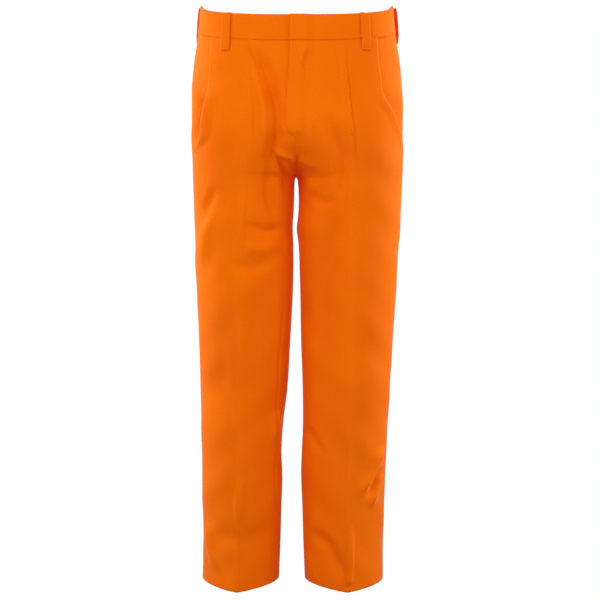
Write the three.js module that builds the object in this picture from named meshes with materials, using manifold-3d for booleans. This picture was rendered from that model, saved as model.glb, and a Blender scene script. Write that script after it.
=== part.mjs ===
// Pleated work trousers, standing as worn. Millimetres, +Z up, the wearer's left side at +X, the front
// at -Y. Heights are counted up from the hem, and the last group moves the origin to the middle of the
// waist opening.

import Module from "manifold-3d";
import * as THREE from "three";
import { mergeVertices } from "three/addons/utils/BufferGeometryUtils.js";

// Driving dimensions
const WAIST_HEIGHT = 1075; // hem to the waistband's top edge at the side seams
const BAND_HEIGHT = 45;
const FRONT_DIP = 34; // how far the waistband's top edge falls from the sides to the centre front
const INSIDE_LEG = 762; // hem to the crotch
const FRONT_RISE_CURVE = 85; // height over which the front crotch seam turns upright
const BACK_RISE_CURVE = 130;
const THIGH_FROM = 450; // height from which the legs begin to take the body's section
const BODY_ROUNDNESS = 2.4; // exponent of the body's cross-section: 2 is an ellipse, more is squarer
const HEM_DEPTH = 30;

const CLOTH = 1.6;
const LINING = 0.8;
const SEAM_GAP = 0.3;

const FLY_FOOT = 860; // height of the fly's lower end
const FLY_CURVE = 35; // height of the curved part of the fly's stitching
const FLY_WIDTH = 30; // centre front to the fly's stitching
const FLY_OVERLAP = 10; // how far the wearer's left side laps over the right
const RIGHT_EDGE = 4; // centre front to the right panel's folded edge, beside the zip

const MOUTH_FOOT = 826; // height of the side pocket's lower end
const MOUTH_BEND = 901; // height where the pocket's mouth turns from upright to slanted
const POCKET_FOOT = 705;
const POCKET_ROOM = 17; // how far in the pocket bag's back layer stands

const LOOP_WIDTH = 17.5;
const LOOP_STAND = 6.5; // room between the waistband and a belt loop
const LOOP_THICK = 1.3;
const LOOP_TAIL = 20; // how far a loop reaches below the waistband

// Outline stations, each [height above the hem, size]
const OUTER = [[0, 170], [113, 170], [275, 174], [378, 177], [475, 182], [613, 189], [705, 192],
  [800, 196.5], [900, 197.5], [960, 193], [1030, 184], [1075, 181]];
const INNER = [[0, 25], [200, 19], [302, 19.5], [450, 11.5], [600, 6], [730, 4.5], [762, SEAM_GAP / 2]];
const FRONT = [[0, 94], [200, 88], [400, 88], [600, 99], [762, 114], [850, 128], [996, 107], [1041, 105],
  [1075, 104]];
const BACK = [[0, 92], [200, 90], [400, 94], [600, 108], [762, 126], [880, 142], [1030, 107], [1075, 105]];
const CREASE_AT = [[0, 97.5], [600, 97], [850, 95], [1030, 92]];
const CREASE = [[0, 0.5], [400, 0.42], [762, 0.2], [900, 0]]; // 0 is a round front, 1 a straight-sided edge
const INSEAM_AT = [[0, 0], [762, 8]]; // how far behind the side seam the inside leg seam runs

// Levels follow the garment: a level is a height up to FLAT_LEVEL, and above it the rows tilt until
// they run along the waist seam at SEAM_LEVEL and along the top edge at TOP_LEVEL.
const FLAT_LEVEL = FLY_FOOT + FLY_CURVE;
const SEAM_LEVEL = 1000;
const TOP_LEVEL = SEAM_LEVEL + BAND_HEIGHT;

const clamp = (value, low, high) => Math.min(Math.max(value, low), high);
const mix = (a, b, t) => a + (b - a) * t;

function along(stations, height) {
  const last = stations.length - 1;
  let i = 0;
  while (i < last - 1 && height > stations[i + 1][0]) i += 1;
  const [low, a] = stations[i];
  const [high, b] = stations[i + 1];
  return mix(a, b, clamp((height - low) / (high - low), 0, 1));
}

// The body's section at this height, where u = 0 is the centre and u = 1 the side seam.
function bodyAngle(u, height) {
  const middle = creaseAngle(height);
  return u < 0.5 ? 2 * u * middle : mix(middle, Math.PI / 2, 2 * u - 1);
}

function creaseAngle(height) {
  const share = along(CREASE_AT, height) / along(OUTER, height);
  return Math.asin(share ** (BODY_ROUNDNESS / 2));
}

function bodyPoint(u, height, depth) {
  const angle = bodyAngle(u, height);
  const x = along(OUTER, height) * Math.sin(angle) ** (2 / BODY_ROUNDNESS);
  const y = depth * Math.max(Math.cos(angle), 0) ** (2 / BODY_ROUNDNESS);
  return [Math.max(x, SEAM_GAP / 2), y];
}

// The leg's section: from the inside leg seam (u = 0) over the crease (u = 0.5) to the side seam (u = 1).
// Towards the crotch its outer half takes the body's shape.
function legPoint(u, height, bodyDepth) {
  const share = THREE.MathUtils.smoothstep(height, THIGH_FROM, INSIDE_LEG);
  const depth = mix(bodyDepth, bodyPoint(0.5, height, bodyDepth)[1], share);
  if (u > 0.5) {
    const [x, y] = roundPoint(u, height, bodyDepth);
    const body = bodyPoint(u, height, bodyDepth);
    return [mix(x, body[0], share), mix(y, body[1], share)];
  }
  return roundPoint(u, height, depth);
}

function roundPoint(u, height, depth) {
  const crease = along(CREASE_AT, height);
  const inside = u < 0.5;
  const angle = (Math.PI / 2) * Math.abs(2 * u - 1);
  const edge = inside ? along(INNER, height) : along(OUTER, height);
  const sharp = along(CREASE, height);
  const reach = (1 - sharp) * Math.cos(angle) + sharp * (1 - Math.sin(angle));
  const seam = inside ? along(INSEAM_AT, height) : 0;
  return [mix(crease, edge, Math.sin(angle)), mix(seam, depth, reach)];
}

function riseShare(height, curve) {
  const climb = clamp((height - INSIDE_LEG) / curve, 0, 1);
  return Math.sin(Math.acos(1 - climb));
}

function outline(front, u, height) {
  const depth = front ? -along(FRONT, height) : along(BACK, height);
  const share = riseShare(height, front ? FRONT_RISE_CURVE : BACK_RISE_CURVE);
  const leg = legPoint(u, height, depth);
  const body = bodyPoint(u, height, depth);
  return [mix(leg[0], body[0], share), mix(leg[1], body[1], share)];
}

function heightOf(front, u, level) {
  if (level <= FLAT_LEVEL) return level;
  const lean = Math.max(Math.cos(bodyAngle(u, 1000)), 0) ** (2 / BODY_ROUNDNESS);
  const seam = WAIST_HEIGHT - BAND_HEIGHT - (front ? FRONT_DIP * lean : 0);
  if (level <= SEAM_LEVEL) return mix(FLAT_LEVEL, seam, (level - FLAT_LEVEL) / (SEAM_LEVEL - FLAT_LEVEL));
  return seam + level - SEAM_LEVEL;
}

function surfacePoint(front, u, level) {
  const height = heightOf(front, u, level);
  const [x, y] = outline(front, u, height);
  return new THREE.Vector3(x, y, height);
}

// A point this far inside the cloth's outer face. s runs round one half of the garment: 0 to 1 is the
// front from centre to side seam, 1 to 2 the back from side seam to centre.
function skin(s, level, inward) {
  const at = (value) => (value <= 1
    ? surfacePoint(true, clamp(value, 0, 1), level)
    : surfacePoint(false, clamp(2 - value, 0, 1), level));
  const step = 0.01;
  const round = at(Math.min(s + step, 2)).sub(at(Math.max(s - step, 0)));
  const half = s <= 1 ? [true, clamp(s, 0, 1)] : [false, clamp(2 - s, 0, 1)];
  const up = surfacePoint(...half, level + 1).sub(surfacePoint(...half, level - 1));
  const outward = round.cross(up).normalize();
  return at(s).addScaledVector(outward, -inward);
}

// The same for places near the centre front, by their x on either side.
function centreFront(x, level, inward) {
  const height = heightOf(true, 0, level);
  const place = skin(uAt(x, height), level, inward);
  return new THREE.Vector3(x, place.y, place.z);
}

// The share round the body's front at which x is reached.
function uAt(x, height) {
  const angle = Math.asin((Math.abs(x) / along(OUTER, height)) ** (BODY_ROUNDNESS / 2));
  const middle = creaseAngle(height);
  return angle < middle ? angle / middle / 2 : mix(0.5, 1, (angle - middle) / (Math.PI / 2 - middle));
}

const steps = (from, to, count) => Array.from({ length: count + 1 }, (_, i) => mix(from, to, i / count));

// A sheet of cloth: a box whose columns and rows are laid on the garment. place(column, row, side) gives
// a vertex, with side 0 on the outer face and 1 on the inner face.
function sheet(columns, rows, place) {
  const box = new THREE.BoxGeometry(1, 1, 1, columns.length - 1, rows.length - 1, 1);
  const position = box.attributes.position;
  for (let i = 0; i < position.count; i += 1) {
    const column = columns[Math.round((position.getX(i) + 0.5) * (columns.length - 1))];
    const row = rows[Math.round((position.getY(i) + 0.5) * (rows.length - 1))];
    const side = position.getZ(i) > 0 ? 0 : 1;
    const vertex = place(column, row, side);
    position.setXYZ(i, vertex.x, vertex.y, vertex.z);
  }
  box.computeVertexNormals();
  return box;
}

const MATERIALS = {
  cloth: { color: 0xee7408, roughness: 0.85, metalness: 0 },
  lining: { color: 0xe9e2d0, roughness: 0.9, metalness: 0 },
  tape: { color: 0xd9640a, roughness: 0.8, metalness: 0 },
  brass: { color: 0xb8923f, roughness: 0.35, metalness: 1 },
  steel: { color: 0xb9bcc0, roughness: 0.3, metalness: 1 },
  button: { color: 0xd86a12, roughness: 0.4, metalness: 0 },
  label: { color: 0xf4f3ee, roughness: 0.8, metalness: 0 },
};

const garment = new THREE.Group();

function piece(name, geometry, material, parent = garment) {
  const mesh = new THREE.Mesh(geometry, new THREE.MeshStandardMaterial(MATERIALS[material]));
  mesh.name = name;
  parent.add(mesh);
  return mesh;
}

// One piece on the wearer's left and its mirror image on the right.
function pair(name, geometry, material) {
  piece(`${name}_left`, geometry, material);
  piece(`${name}_right`, geometry, material).scale.x = -1;
}

// ---- Leg panels ----

const MOUTH_U = 0.71; // where the pocket's mouth meets the waistband, as a share of the front
const MOUTH_END_U = 0.965;

function mouthU(level) {
  if (level < MOUTH_FOOT) return 1;
  return mix(MOUTH_END_U, MOUTH_U, clamp((level - MOUTH_FOOT) / (MOUTH_BEND - MOUTH_FOOT), 0, 1));
}

// The fly's stitched edge: upright, then a quarter turn into the centre seam.
function flyEdge(level) {
  if (level < FLY_FOOT + 1) return 0;
  return FLY_WIDTH * Math.sqrt(1 - clamp((FLAT_LEVEL - level) / FLY_CURVE, 0, 1) ** 2);
}

const LEG_ROWS = steps(0, INSIDE_LEG, 11);
const riseRows = (curve, count) => steps(0, Math.PI / 2, count).slice(1)
  .map((turn) => INSIDE_LEG + curve * (1 - Math.cos(turn)));
const FLY_ROWS = steps(0, Math.PI / 2, 4).slice(1).map((turn) => FLAT_LEVEL - FLY_CURVE * Math.cos(turn));
const FRONT_ROWS = [...LEG_ROWS, ...riseRows(FRONT_RISE_CURVE, 5), FLY_FOOT, ...FLY_ROWS, 930, 965,
  SEAM_LEVEL - SEAM_GAP];
const BACK_ROWS = [...LEG_ROWS, ...riseRows(BACK_RISE_CURVE, 6), 930, 965, SEAM_LEVEL - SEAM_GAP];

// Keeps a seam gap between front and back along the side and inside leg seams, and between left and right.
function keepApart(vertex, front, atInseam, atSide, level) {
  const way = front ? -1 : 1;
  const half = (way * SEAM_GAP) / 2;
  if (atSide) vertex.y = way * Math.max(way * vertex.y, SEAM_GAP / 2);
  if (atInseam && level <= INSIDE_LEG) {
    const seam = along(INSEAM_AT, level) + half;
    vertex.y = way * Math.max(way * vertex.y, way * seam);
  }
  if (level > INSIDE_LEG) vertex.x = Math.max(vertex.x, SEAM_GAP / 2);
  return vertex;
}

function frontPanel(centreEdge) {
  return sheet(steps(0, 1, 12), FRONT_ROWS, (column, level, side) => {
    const height = heightOf(true, 0, level);
    const from = level > FLY_FOOT + 1 ? uAt(centreEdge(level), height) : 0;
    const to = mouthU(level) - (level > MOUTH_FOOT ? 0.002 : 0);
    const s = mix(from, to, column);
    const vertex = skin(s, level, side * CLOTH);
    return keepApart(vertex, true, column === 0, column === 1 && level < MOUTH_FOOT, level);
  });
}

piece("front_panel_left", frontPanel((level) => flyEdge(level) + SEAM_GAP / 2), "cloth");
piece("front_panel_right", frontPanel(() => RIGHT_EDGE), "cloth").scale.x = -1;
pair("back_panel", sheet(steps(0, 1, 10), BACK_ROWS, (column, level, side) => {
  const vertex = skin(1.0001 + 0.9999 * column, level, side * CLOTH);
  return keepApart(vertex, false, column === 1, column === 0, level);
}), "cloth");

pair("hem", sheet(steps(0, 2, 20), [1, HEM_DEPTH], (s, level, side) => {
  const vertex = skin(s, level, 2.1 + side * CLOTH);
  return keepApart(vertex, s < 1, s === 0 || s === 2, false, level);
}), "cloth");

// ---- Waistband ----

const BAND_OUT = -0.8; // the waistband stands this proud of the panels
const BAND_THICK = 2.5;
const TAB_LIFT = 5.8; // how far the tab stands out over the underlap, with the hook between them
const TAB_ROOT = FLY_WIDTH;
const BAND_ROWS = [SEAM_LEVEL, TOP_LEVEL];

function bandColumns(startU) {
  return [...steps(startU, 1, 8), ...steps(1, 2, 8).slice(1)];
}

function band(startX, inward, thick, rows) {
  const start = uAt(startX, WAIST_HEIGHT - BAND_HEIGHT - FRONT_DIP);
  return sheet(bandColumns(start), rows, (s, level, side) => {
    const vertex = skin(s, level, inward + side * thick);
    vertex.x = Math.max(vertex.x, SEAM_GAP / 2);
    return vertex;
  });
}

piece("waistband_left", band(TAB_ROOT + SEAM_GAP, BAND_OUT, BAND_THICK, BAND_ROWS), "cloth");
piece("waistband_right", band(FLY_OVERLAP, BAND_OUT, BAND_THICK, BAND_ROWS), "cloth").scale.x = -1;
const LINING_ROWS = [SEAM_LEVEL + 1, TOP_LEVEL - 2];
piece("waistband_lining_left", band(42, 3.6, LINING, LINING_ROWS), "lining");
piece("waistband_lining_right", band(14, 3.6, LINING, LINING_ROWS), "lining").scale.x = -1;

const tabRise = (x) => TAB_LIFT * clamp((TAB_ROOT - x) / 15, 0, 1);
piece("waistband_tab", sheet(steps(-FLY_OVERLAP, TAB_ROOT - SEAM_GAP, 8), BAND_ROWS, (x, level, side) => (
  centreFront(x, level, BAND_OUT - tabRise(x) + side * BAND_THICK))), "cloth");

const underlapSink = (x) => 3.1 * clamp((x - 10) / 18, 0, 1);
piece("waistband_underlap", sheet(steps(SEAM_GAP - FLY_OVERLAP, 36, 9), BAND_ROWS, (x, level, side) => (
  centreFront(x, level, BAND_OUT + underlapSink(x) + side * BAND_THICK))), "cloth");

piece("care_label", sheet(steps(16, -16, 2), [SEAM_LEVEL + 2, TOP_LEVEL - 6], (x, level, side) => {
  const place = skin(2, level, 5 + side * 0.4);
  return new THREE.Vector3(x, place.y, place.z);
}), "label");

// ---- Fly ----

// The overlap lies in line with the left panel at its stitching and steps out over the right panel's edge.
const overlapRise = (x) => 2.3 * clamp((16 - x) / 8, 0, 1);
const OVERLAP_CURVE = 20; // height over which the overlap's free edge rounds in at its foot
const OVERLAP_ROWS = [...FLY_ROWS, 930, 965, SEAM_LEVEL - SEAM_GAP];
piece("fly_overlap", sheet(steps(0, 1, 6), OVERLAP_ROWS, (column, level, side) => {
  const below = clamp((FLY_FOOT + OVERLAP_CURVE - level) / OVERLAP_CURVE, 0, 1);
  const free = FLY_OVERLAP * Math.sqrt(1 - below ** 2);
  const x = mix(-free, flyEdge(level) - SEAM_GAP / 2, column);
  return centreFront(x, level, side * CLOTH - overlapRise(x));
}), "cloth");

const FLY_LINER_ROWS = [FLY_FOOT + 12, 895, 930, 965, SEAM_LEVEL - 1];
piece("fly_facing", sheet(steps(8.5, 34, 3), FLY_LINER_ROWS, (x, level, side) => (
  centreFront(x, level, 2.5 + side * LINING))), "cloth");
piece("fly_shield", sheet(steps(-24, 36, 6), FLY_LINER_ROWS, (x, level, side) => (
  centreFront(x, level, 8.4 + side * 1.4))), "cloth");

// The zip is straight: its group's origin is the centre seam at the fly's foot, its +Z runs up the
// centre front and its +Y points into the garment.
const seamFoot = new THREE.Vector3(0, -along(FRONT, FLY_FOOT), FLY_FOOT);
const seamTopHeight = WAIST_HEIGHT - BAND_HEIGHT - FRONT_DIP;
const seamTop = new THREE.Vector3(0, -along(FRONT, seamTopHeight), seamTopHeight);
const zip = new THREE.Group();
zip.position.copy(seamFoot);
zip.rotation.x = -Math.atan2(seamTop.y - seamFoot.y, seamTop.z - seamFoot.z);
garment.add(zip);

const ZIP_LENGTH = seamTop.distanceTo(seamFoot);
const TEETH_FROM = 44; // the pull hangs clear of the fly's foot when the slider is down
const TEETH_TO = ZIP_LENGTH - 9;
const TOOTH_PITCH = 3.2;
const TOOTH = 1.4;
const TEETH_AT = 3.7; // depth of the teeth's front face
const TEETH_THICK = 2.4;
const SLIDER_HALF = 5.5;
const SLIDER_AT = TEETH_TO - SLIDER_HALF;

function block(name, size, centre, material, parent) {
  const mesh = piece(name, new THREE.BoxGeometry(...size), material, parent);
  mesh.position.set(...centre);
  return mesh;
}

// A flat outline in x and z, pushed into the garment from one depth by a thickness.
function plate(outlineShape, depth, thick) {
  const geometry = new THREE.ExtrudeGeometry(outlineShape, { depth: thick, bevelEnabled: false });
  return geometry.rotateX(Math.PI / 2).translate(0, depth + thick, 0);
}

function comb() {
  const shape = new THREE.Shape();
  shape.moveTo(3, TEETH_FROM);
  shape.lineTo(3, TEETH_TO);
  shape.lineTo(2, TEETH_TO);
  const count = Math.floor((TEETH_TO - TEETH_FROM) / TOOTH_PITCH);
  for (let i = count - 1; i >= 0; i -= 1) {
    const foot = TEETH_FROM + 0.6 + i * TOOTH_PITCH;
    shape.lineTo(2, foot + TOOTH);
    shape.lineTo(0.8, foot + TOOTH);
    shape.lineTo(0.8, foot);
    shape.lineTo(2, foot);
  }
  shape.lineTo(2, TEETH_FROM);
  shape.closePath();
  return plate(shape, TEETH_AT, TEETH_THICK);
}

function zipPair(name, geometry, material) {
  piece(`${name}_left`, geometry, material, zip);
  piece(`${name}_right`, geometry, material, zip).scale.x = -1;
}

zipPair("zip_teeth", comb(), "brass");
zipPair("zip_tape", new THREE.BoxGeometry(13.5, LINING, ZIP_LENGTH - 5)
  .translate(3.3 + 13.5 / 2, 5, ZIP_LENGTH / 2 + 1), "tape");
zipPair("zip_top_stop", new THREE.BoxGeometry(1.8, TEETH_THICK, 2.2)
  .translate(1.9, TEETH_AT + TEETH_THICK / 2, TEETH_TO + 1.6), "brass");
const BOTTOM_STOP = [6, TEETH_THICK, 2.6];
block("zip_bottom_stop", BOTTOM_STOP, [0, TEETH_AT + TEETH_THICK / 2, TEETH_FROM - 1.8], "brass", zip);

// The slider: a front and a back plate joined by a thin post between the two rows of teeth, with a
// bridge on the front that holds the pull.
function polygon(points) {
  return new THREE.Shape(points.map(([x, y]) => new THREE.Vector2(x, y)));
}

const wasm = await Module();
wasm.setup();

function solid(geometry) {
  const bare = geometry.clone();
  bare.deleteAttribute("normal");
  bare.deleteAttribute("uv");
  const merged = mergeVertices(bare, 1e-4);
  return new wasm.Manifold(new wasm.Mesh({
    numProp: 3,
    vertProperties: new Float32Array(merged.attributes.position.array),
    triVerts: new Uint32Array(merged.index.array),
  }));
}

function fromSolid(manifold) {
  const mesh = manifold.getMesh();
  const geometry = new THREE.BufferGeometry();
  geometry.setAttribute("position", new THREE.BufferAttribute(mesh.vertProperties, 3));
  geometry.setIndex(new THREE.BufferAttribute(mesh.triVerts, 1));
  geometry.computeVertexNormals();
  return geometry;
}

function sliderGeometry() {
  const body = polygon([[-4, 2.6], [4, 2.6], [4, 3.4], [0.5, 3.4], [0.5, 6.4], [4, 6.4], [4, 7.2],
    [-4, 7.2], [-4, 6.4], [-0.5, 6.4], [-0.5, 3.4], [-4, 3.4]]);
  const rail = new THREE.ExtrudeGeometry(body, { depth: 2 * SLIDER_HALF, bevelEnabled: false })
    .translate(0, 0, -SLIDER_HALF);
  const arch = polygon([[2.8, -3.2], [0, -3.2], [0, 3.2], [2.8, 3.2], [2.8, 2.3], [0.9, 2.3],
    [0.9, -2.3], [2.8, -2.3]]);
  const bridge = new THREE.ExtrudeGeometry(arch, { depth: 1.6, bevelEnabled: false })
    .applyMatrix4(new THREE.Matrix4().set(0, 0, 1, -0.8, 1, 0, 0, 0, 0, 1, 0, 0, 0, 0, 0, 1));
  return fromSolid(solid(rail).add(solid(bridge)));
}

const slider = new THREE.Group();
slider.position.z = SLIDER_AT;
zip.add(slider);
piece("zip_slider", sliderGeometry(), "brass", slider);

const PULL_DEPTH = 1.35;
const PULL_THICK = 0.8;
function pullGeometry() {
  const shape = polygon([[-1.9, 0.6], [1.9, 0.6], [2.2, -6], [3, -8], [3, -20], [2, -22], [-2, -22],
    [-3, -20], [-3, -8], [-2.2, -6]]);
  shape.holes.push(new THREE.Path([[-1.3, -0.6], [-1.3, -5], [1.3, -5], [1.3, -0.6]]
    .map(([x, y]) => new THREE.Vector2(x, y))));
  return plate(shape, PULL_DEPTH, PULL_THICK);
}
piece("zip_pull", pullGeometry(), "brass", slider);

// ---- Waist hook and bar, behind the tab ----

const clasp = new THREE.Group();
const claspLevel = SEAM_LEVEL + BAND_HEIGHT / 2;
clasp.position.copy(centreFront(0, claspLevel, 0));
garment.add(clasp);
const HOOK_WIDTH = 9;
const BAR_WIDTH = 1.6;
const bentStrip = (points, width) => (
  new THREE.ExtrudeGeometry(polygon(points), { depth: width, bevelEnabled: false })
    .translate(0, 0, -width / 2));
const hookOutline = [[-6, -3.8], [-6, -1.8], [-0.2, -1.8], [-0.2, -2.4], [-5.3, -2.4], [-5.3, -3.1],
  [8, -3.1], [8, -3.8]];
piece("waist_hook", bentStrip(hookOutline, HOOK_WIDTH), "steel", clasp);
// The bar is an arch whose feet stand above and below the hook: its outline's x is depth, its y height.
const barOutline = [[-2.9, -7], [-2.9, 7], [-1.2, 7], [-1.2, 5.8], [-2.2, 5.8], [-2.2, -5.8], [-1.2, -5.8],
  [-1.2, -7]];
const BAR_X = 1.6; // it stands just beyond the hook's tongue
const barUpright = new THREE.Matrix4().set(0, 0, 1, BAR_X, 1, 0, 0, 0, 0, 1, 0, 0, 0, 0, 0, 1);
piece("waist_bar", bentStrip(barOutline, BAR_WIDTH).applyMatrix4(barUpright), "steel", clasp);

// ---- Side pockets ----

const mouthShare = (s, level) => clamp((1 - s) / (1 - mouthU(level)), 0, 1);
const facingDepth = (s, level) => mouthShare(s, level)
  * clamp(5.6 + (level - MOUTH_FOOT) * 0.16, 5.6, 12.4);
const POCKET_TOP = SEAM_LEVEL - 1;

const FACING_ROWS = [843, 856, 870, 901, 950, POCKET_TOP];
pair("pocket_facing", sheet(steps(0, 1, 6), FACING_ROWS, (column, level, side) => {
  const s = mix(mouthU(level) - 0.1, 0.999, column);
  return skin(s, level, facingDepth(s, level) + side * 1.0);
}), "cloth");

const POCKET_INNER_U = 0.3;
const BAG_FRONT_ROWS = [POCKET_FOOT, 740, 780, MOUTH_FOOT - 2, 848, 870, 901, 950, POCKET_TOP];
pair("pocket_bag_front", sheet(steps(0, 1, 7), BAG_FRONT_ROWS, (column, level, side) => {
  const s = mix(POCKET_INNER_U, Math.min(mouthU(level), 0.96) - 0.01, column);
  return skin(s, level, 4.6 + 1.6 * clamp((s - 0.8) / 0.1, 0, 1) + side * LINING);
}), "lining");

function bagDepth(s, level) {
  const inner = clamp((s - POCKET_INNER_U) / 0.07, 0, 1);
  const outer = clamp((0.985 - s) / 0.07, 0, 1);
  const foot = clamp((level - POCKET_FOOT) / 20, 0, 1);
  return mix(8.4, POCKET_ROOM, Math.min(inner, outer, foot));
}

const BAG_BACK_COLUMNS = [POCKET_INNER_U, 0.37, 0.47, 0.58, 0.69, 0.8, 0.915, 0.985];
const BAG_BACK_ROWS = [POCKET_FOOT, POCKET_FOOT + 20, 770, MOUTH_FOOT, 870, 901, 950, POCKET_TOP];
pair("pocket_bag_back", sheet(BAG_BACK_COLUMNS, BAG_BACK_ROWS, (s, level, side) => (
  skin(s, level, bagDepth(s, level) + side * LINING))), "lining");

// ---- Hip pocket, on the wearer's right ----

const HIP_POCKET = { from: 1.27, to: 1.73, foot: 790, top: 925 };
function hipPocketStand(s, level) {
  const sides = Math.min(s - HIP_POCKET.from, HIP_POCKET.to - s) / 0.05;
  const foot = (level - HIP_POCKET.foot) / 12;
  return mix(1.1, 7, clamp(Math.min(sides, foot), 0, 1));
}
const HIP_COLUMNS = [HIP_POCKET.from, 1.32, 1.4, 1.5, 1.6, 1.68, HIP_POCKET.to];
const HIP_ROWS = [HIP_POCKET.foot, 802, 836, 862, 880, 900, HIP_POCKET.top];
piece("hip_pocket", sheet(HIP_COLUMNS, HIP_ROWS, (s, level, side) => (
  skin(s, level, -hipPocketStand(s, level) - (1 - side) * CLOTH))), "cloth").scale.x = -1;

const BUTTON = { s: 1.5, level: 905, thick: 3 };
const buttonStand = hipPocketStand(BUTTON.s, BUTTON.level) + CLOTH + SEAM_GAP;
const buttonPlace = skin(BUTTON.s, BUTTON.level, -buttonStand);
const buttonOut = skin(BUTTON.s, BUTTON.level, -20).sub(skin(BUTTON.s, BUTTON.level, 0)).normalize();
const buttonShape = new THREE.CylinderGeometry(7, 7.5, BUTTON.thick, 20).translate(0, 1.7, 0);
const button = piece("hip_pocket_button", buttonShape, "button");
const upright = new THREE.Vector3(0, 1, 0);
button.quaternion.setFromUnitVectors(upright, new THREE.Vector3(-buttonOut.x, buttonOut.y, buttonOut.z));
button.position.set(-buttonPlace.x, buttonPlace.y, buttonPlace.z);

// ---- Belt loops ----

// A strap of even thickness round a line of [outward, height] points.
function strap(line, thick, width) {
  const points = line.map(([out, height]) => new THREE.Vector2(out, height));
  const edge = (shift) => points.map((point, i) => {
    const before = points[Math.max(i - 1, 0)];
    const after = points[Math.min(i + 1, points.length - 1)];
    const way = after.clone().sub(before).normalize();
    return point.clone().add(new THREE.Vector2(way.y, -way.x).multiplyScalar(shift));
  });
  const shape = new THREE.Shape([...edge(thick / 2), ...edge(-thick / 2).reverse()]);
  const options = { depth: width, bevelEnabled: false };
  return new THREE.ExtrudeGeometry(shape, options).translate(0, 0, -width / 2);
}

function beltLoop(name, s, mirrored) {
  const foot = skin(s, SEAM_LEVEL - LOOP_TAIL, 0);
  const seam = skin(s, SEAM_LEVEL, 0);
  const top = skin(s, TOP_LEVEL, 0);
  const outward = skin(s, SEAM_LEVEL + 20, -10).sub(skin(s, SEAM_LEVEL + 20, 0)).setZ(0).normalize();
  const out = (point) => point.clone().sub(seam).dot(outward);
  const touch = LOOP_THICK / 2 + 0.7;
  const stand = -BAND_OUT + LOOP_STAND + LOOP_THICK / 2;
  const height = top.z - seam.z;
  const slope = (out(top) - out(seam)) / height;
  const line = [
    [out(foot) + touch, foot.z - seam.z],
    [mix(out(foot), 0, 0.45) + touch, (foot.z - seam.z) * 0.55],
    [stand, 0],
    [stand + slope * (height - 8), height - 8],
    [out(top) - BAND_OUT + touch + 1.2, height - 1],
    [out(top) - BAND_OUT + touch, height - 7],
  ];
  const loop = piece(name, strap(line, LOOP_THICK, LOOP_WIDTH), "cloth");
  const sideways = new THREE.Vector3().crossVectors(outward, new THREE.Vector3(0, 0, 1));
  const turn = new THREE.Matrix4().makeBasis(outward, new THREE.Vector3(0, 0, 1), sideways);
  loop.geometry.applyMatrix4(turn).translate(seam.x, seam.y, seam.z);
  if (mirrored) loop.scale.x = -1;
}

const seamHeight = WAIST_HEIGHT - BAND_HEIGHT - FRONT_DIP;
const LOOPS = {
  front: uAt(123, seamHeight + 12),
  side: 1.08,
  back: 2 - uAt(85, WAIST_HEIGHT - BAND_HEIGHT),
};
for (const [place, s] of Object.entries(LOOPS)) {
  beltLoop(`belt_loop_${place}_left`, s, false);
  beltLoop(`belt_loop_${place}_right`, s, true);
}
beltLoop("belt_loop_centre_back", 2, false);

garment.position.z = -WAIST_HEIGHT;
const trousers = new THREE.Group();
trousers.add(garment);
export default trousers;
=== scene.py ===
"""Pleated orange work trousers, standing as worn: cloth, stitching, zip and clasp round the CAD frame."""
import math

import bmesh
import bpy
import numpy as np
from mathutils import Matrix, Vector


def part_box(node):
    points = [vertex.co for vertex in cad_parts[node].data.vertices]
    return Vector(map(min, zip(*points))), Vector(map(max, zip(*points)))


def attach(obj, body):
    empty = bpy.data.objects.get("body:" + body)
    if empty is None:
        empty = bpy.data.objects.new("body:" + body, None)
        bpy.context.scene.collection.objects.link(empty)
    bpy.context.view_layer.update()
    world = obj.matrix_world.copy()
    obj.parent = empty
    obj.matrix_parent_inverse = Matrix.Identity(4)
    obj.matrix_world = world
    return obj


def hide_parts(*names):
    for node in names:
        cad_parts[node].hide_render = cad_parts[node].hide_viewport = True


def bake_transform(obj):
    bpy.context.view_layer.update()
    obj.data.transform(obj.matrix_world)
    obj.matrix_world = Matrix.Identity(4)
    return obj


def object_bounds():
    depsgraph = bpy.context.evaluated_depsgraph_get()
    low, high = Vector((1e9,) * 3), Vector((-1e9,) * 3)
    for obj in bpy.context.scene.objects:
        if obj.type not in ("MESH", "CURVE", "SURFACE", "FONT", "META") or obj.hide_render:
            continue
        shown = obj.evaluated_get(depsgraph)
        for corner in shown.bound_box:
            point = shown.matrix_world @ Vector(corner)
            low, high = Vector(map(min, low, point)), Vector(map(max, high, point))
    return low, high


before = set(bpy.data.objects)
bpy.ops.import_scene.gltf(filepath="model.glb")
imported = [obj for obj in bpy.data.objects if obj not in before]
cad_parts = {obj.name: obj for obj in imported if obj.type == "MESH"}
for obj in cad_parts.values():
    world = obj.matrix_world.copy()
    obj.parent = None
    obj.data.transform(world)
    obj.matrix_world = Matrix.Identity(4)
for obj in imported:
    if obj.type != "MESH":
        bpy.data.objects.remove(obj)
cad_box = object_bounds()

# ---- Sizes, in millimetres. Heights are counted up from the hem. ----

MM = 0.001
WAIST_HEIGHT = 1075
BAND_HEIGHT = 45
FRONT_DIP = 34
INSIDE_LEG = 762
FRONT_RISE_CURVE = 85
BACK_RISE_CURVE = 130
THIGH_FROM = 450
BODY_ROUNDNESS = 2.4
FLY_FOOT = 860
FLY_CURVE = 35
FLY_WIDTH = 30
FLAT_LEVEL = FLY_FOOT + FLY_CURVE
SEAM_LEVEL = 1000
TOP_LEVEL = SEAM_LEVEL + BAND_HEIGHT
CLOTH = 0.9
LINING = 0.5
LEFT, RIGHT = 1, -1  # the wearer's sides, at +X and -X

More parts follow.
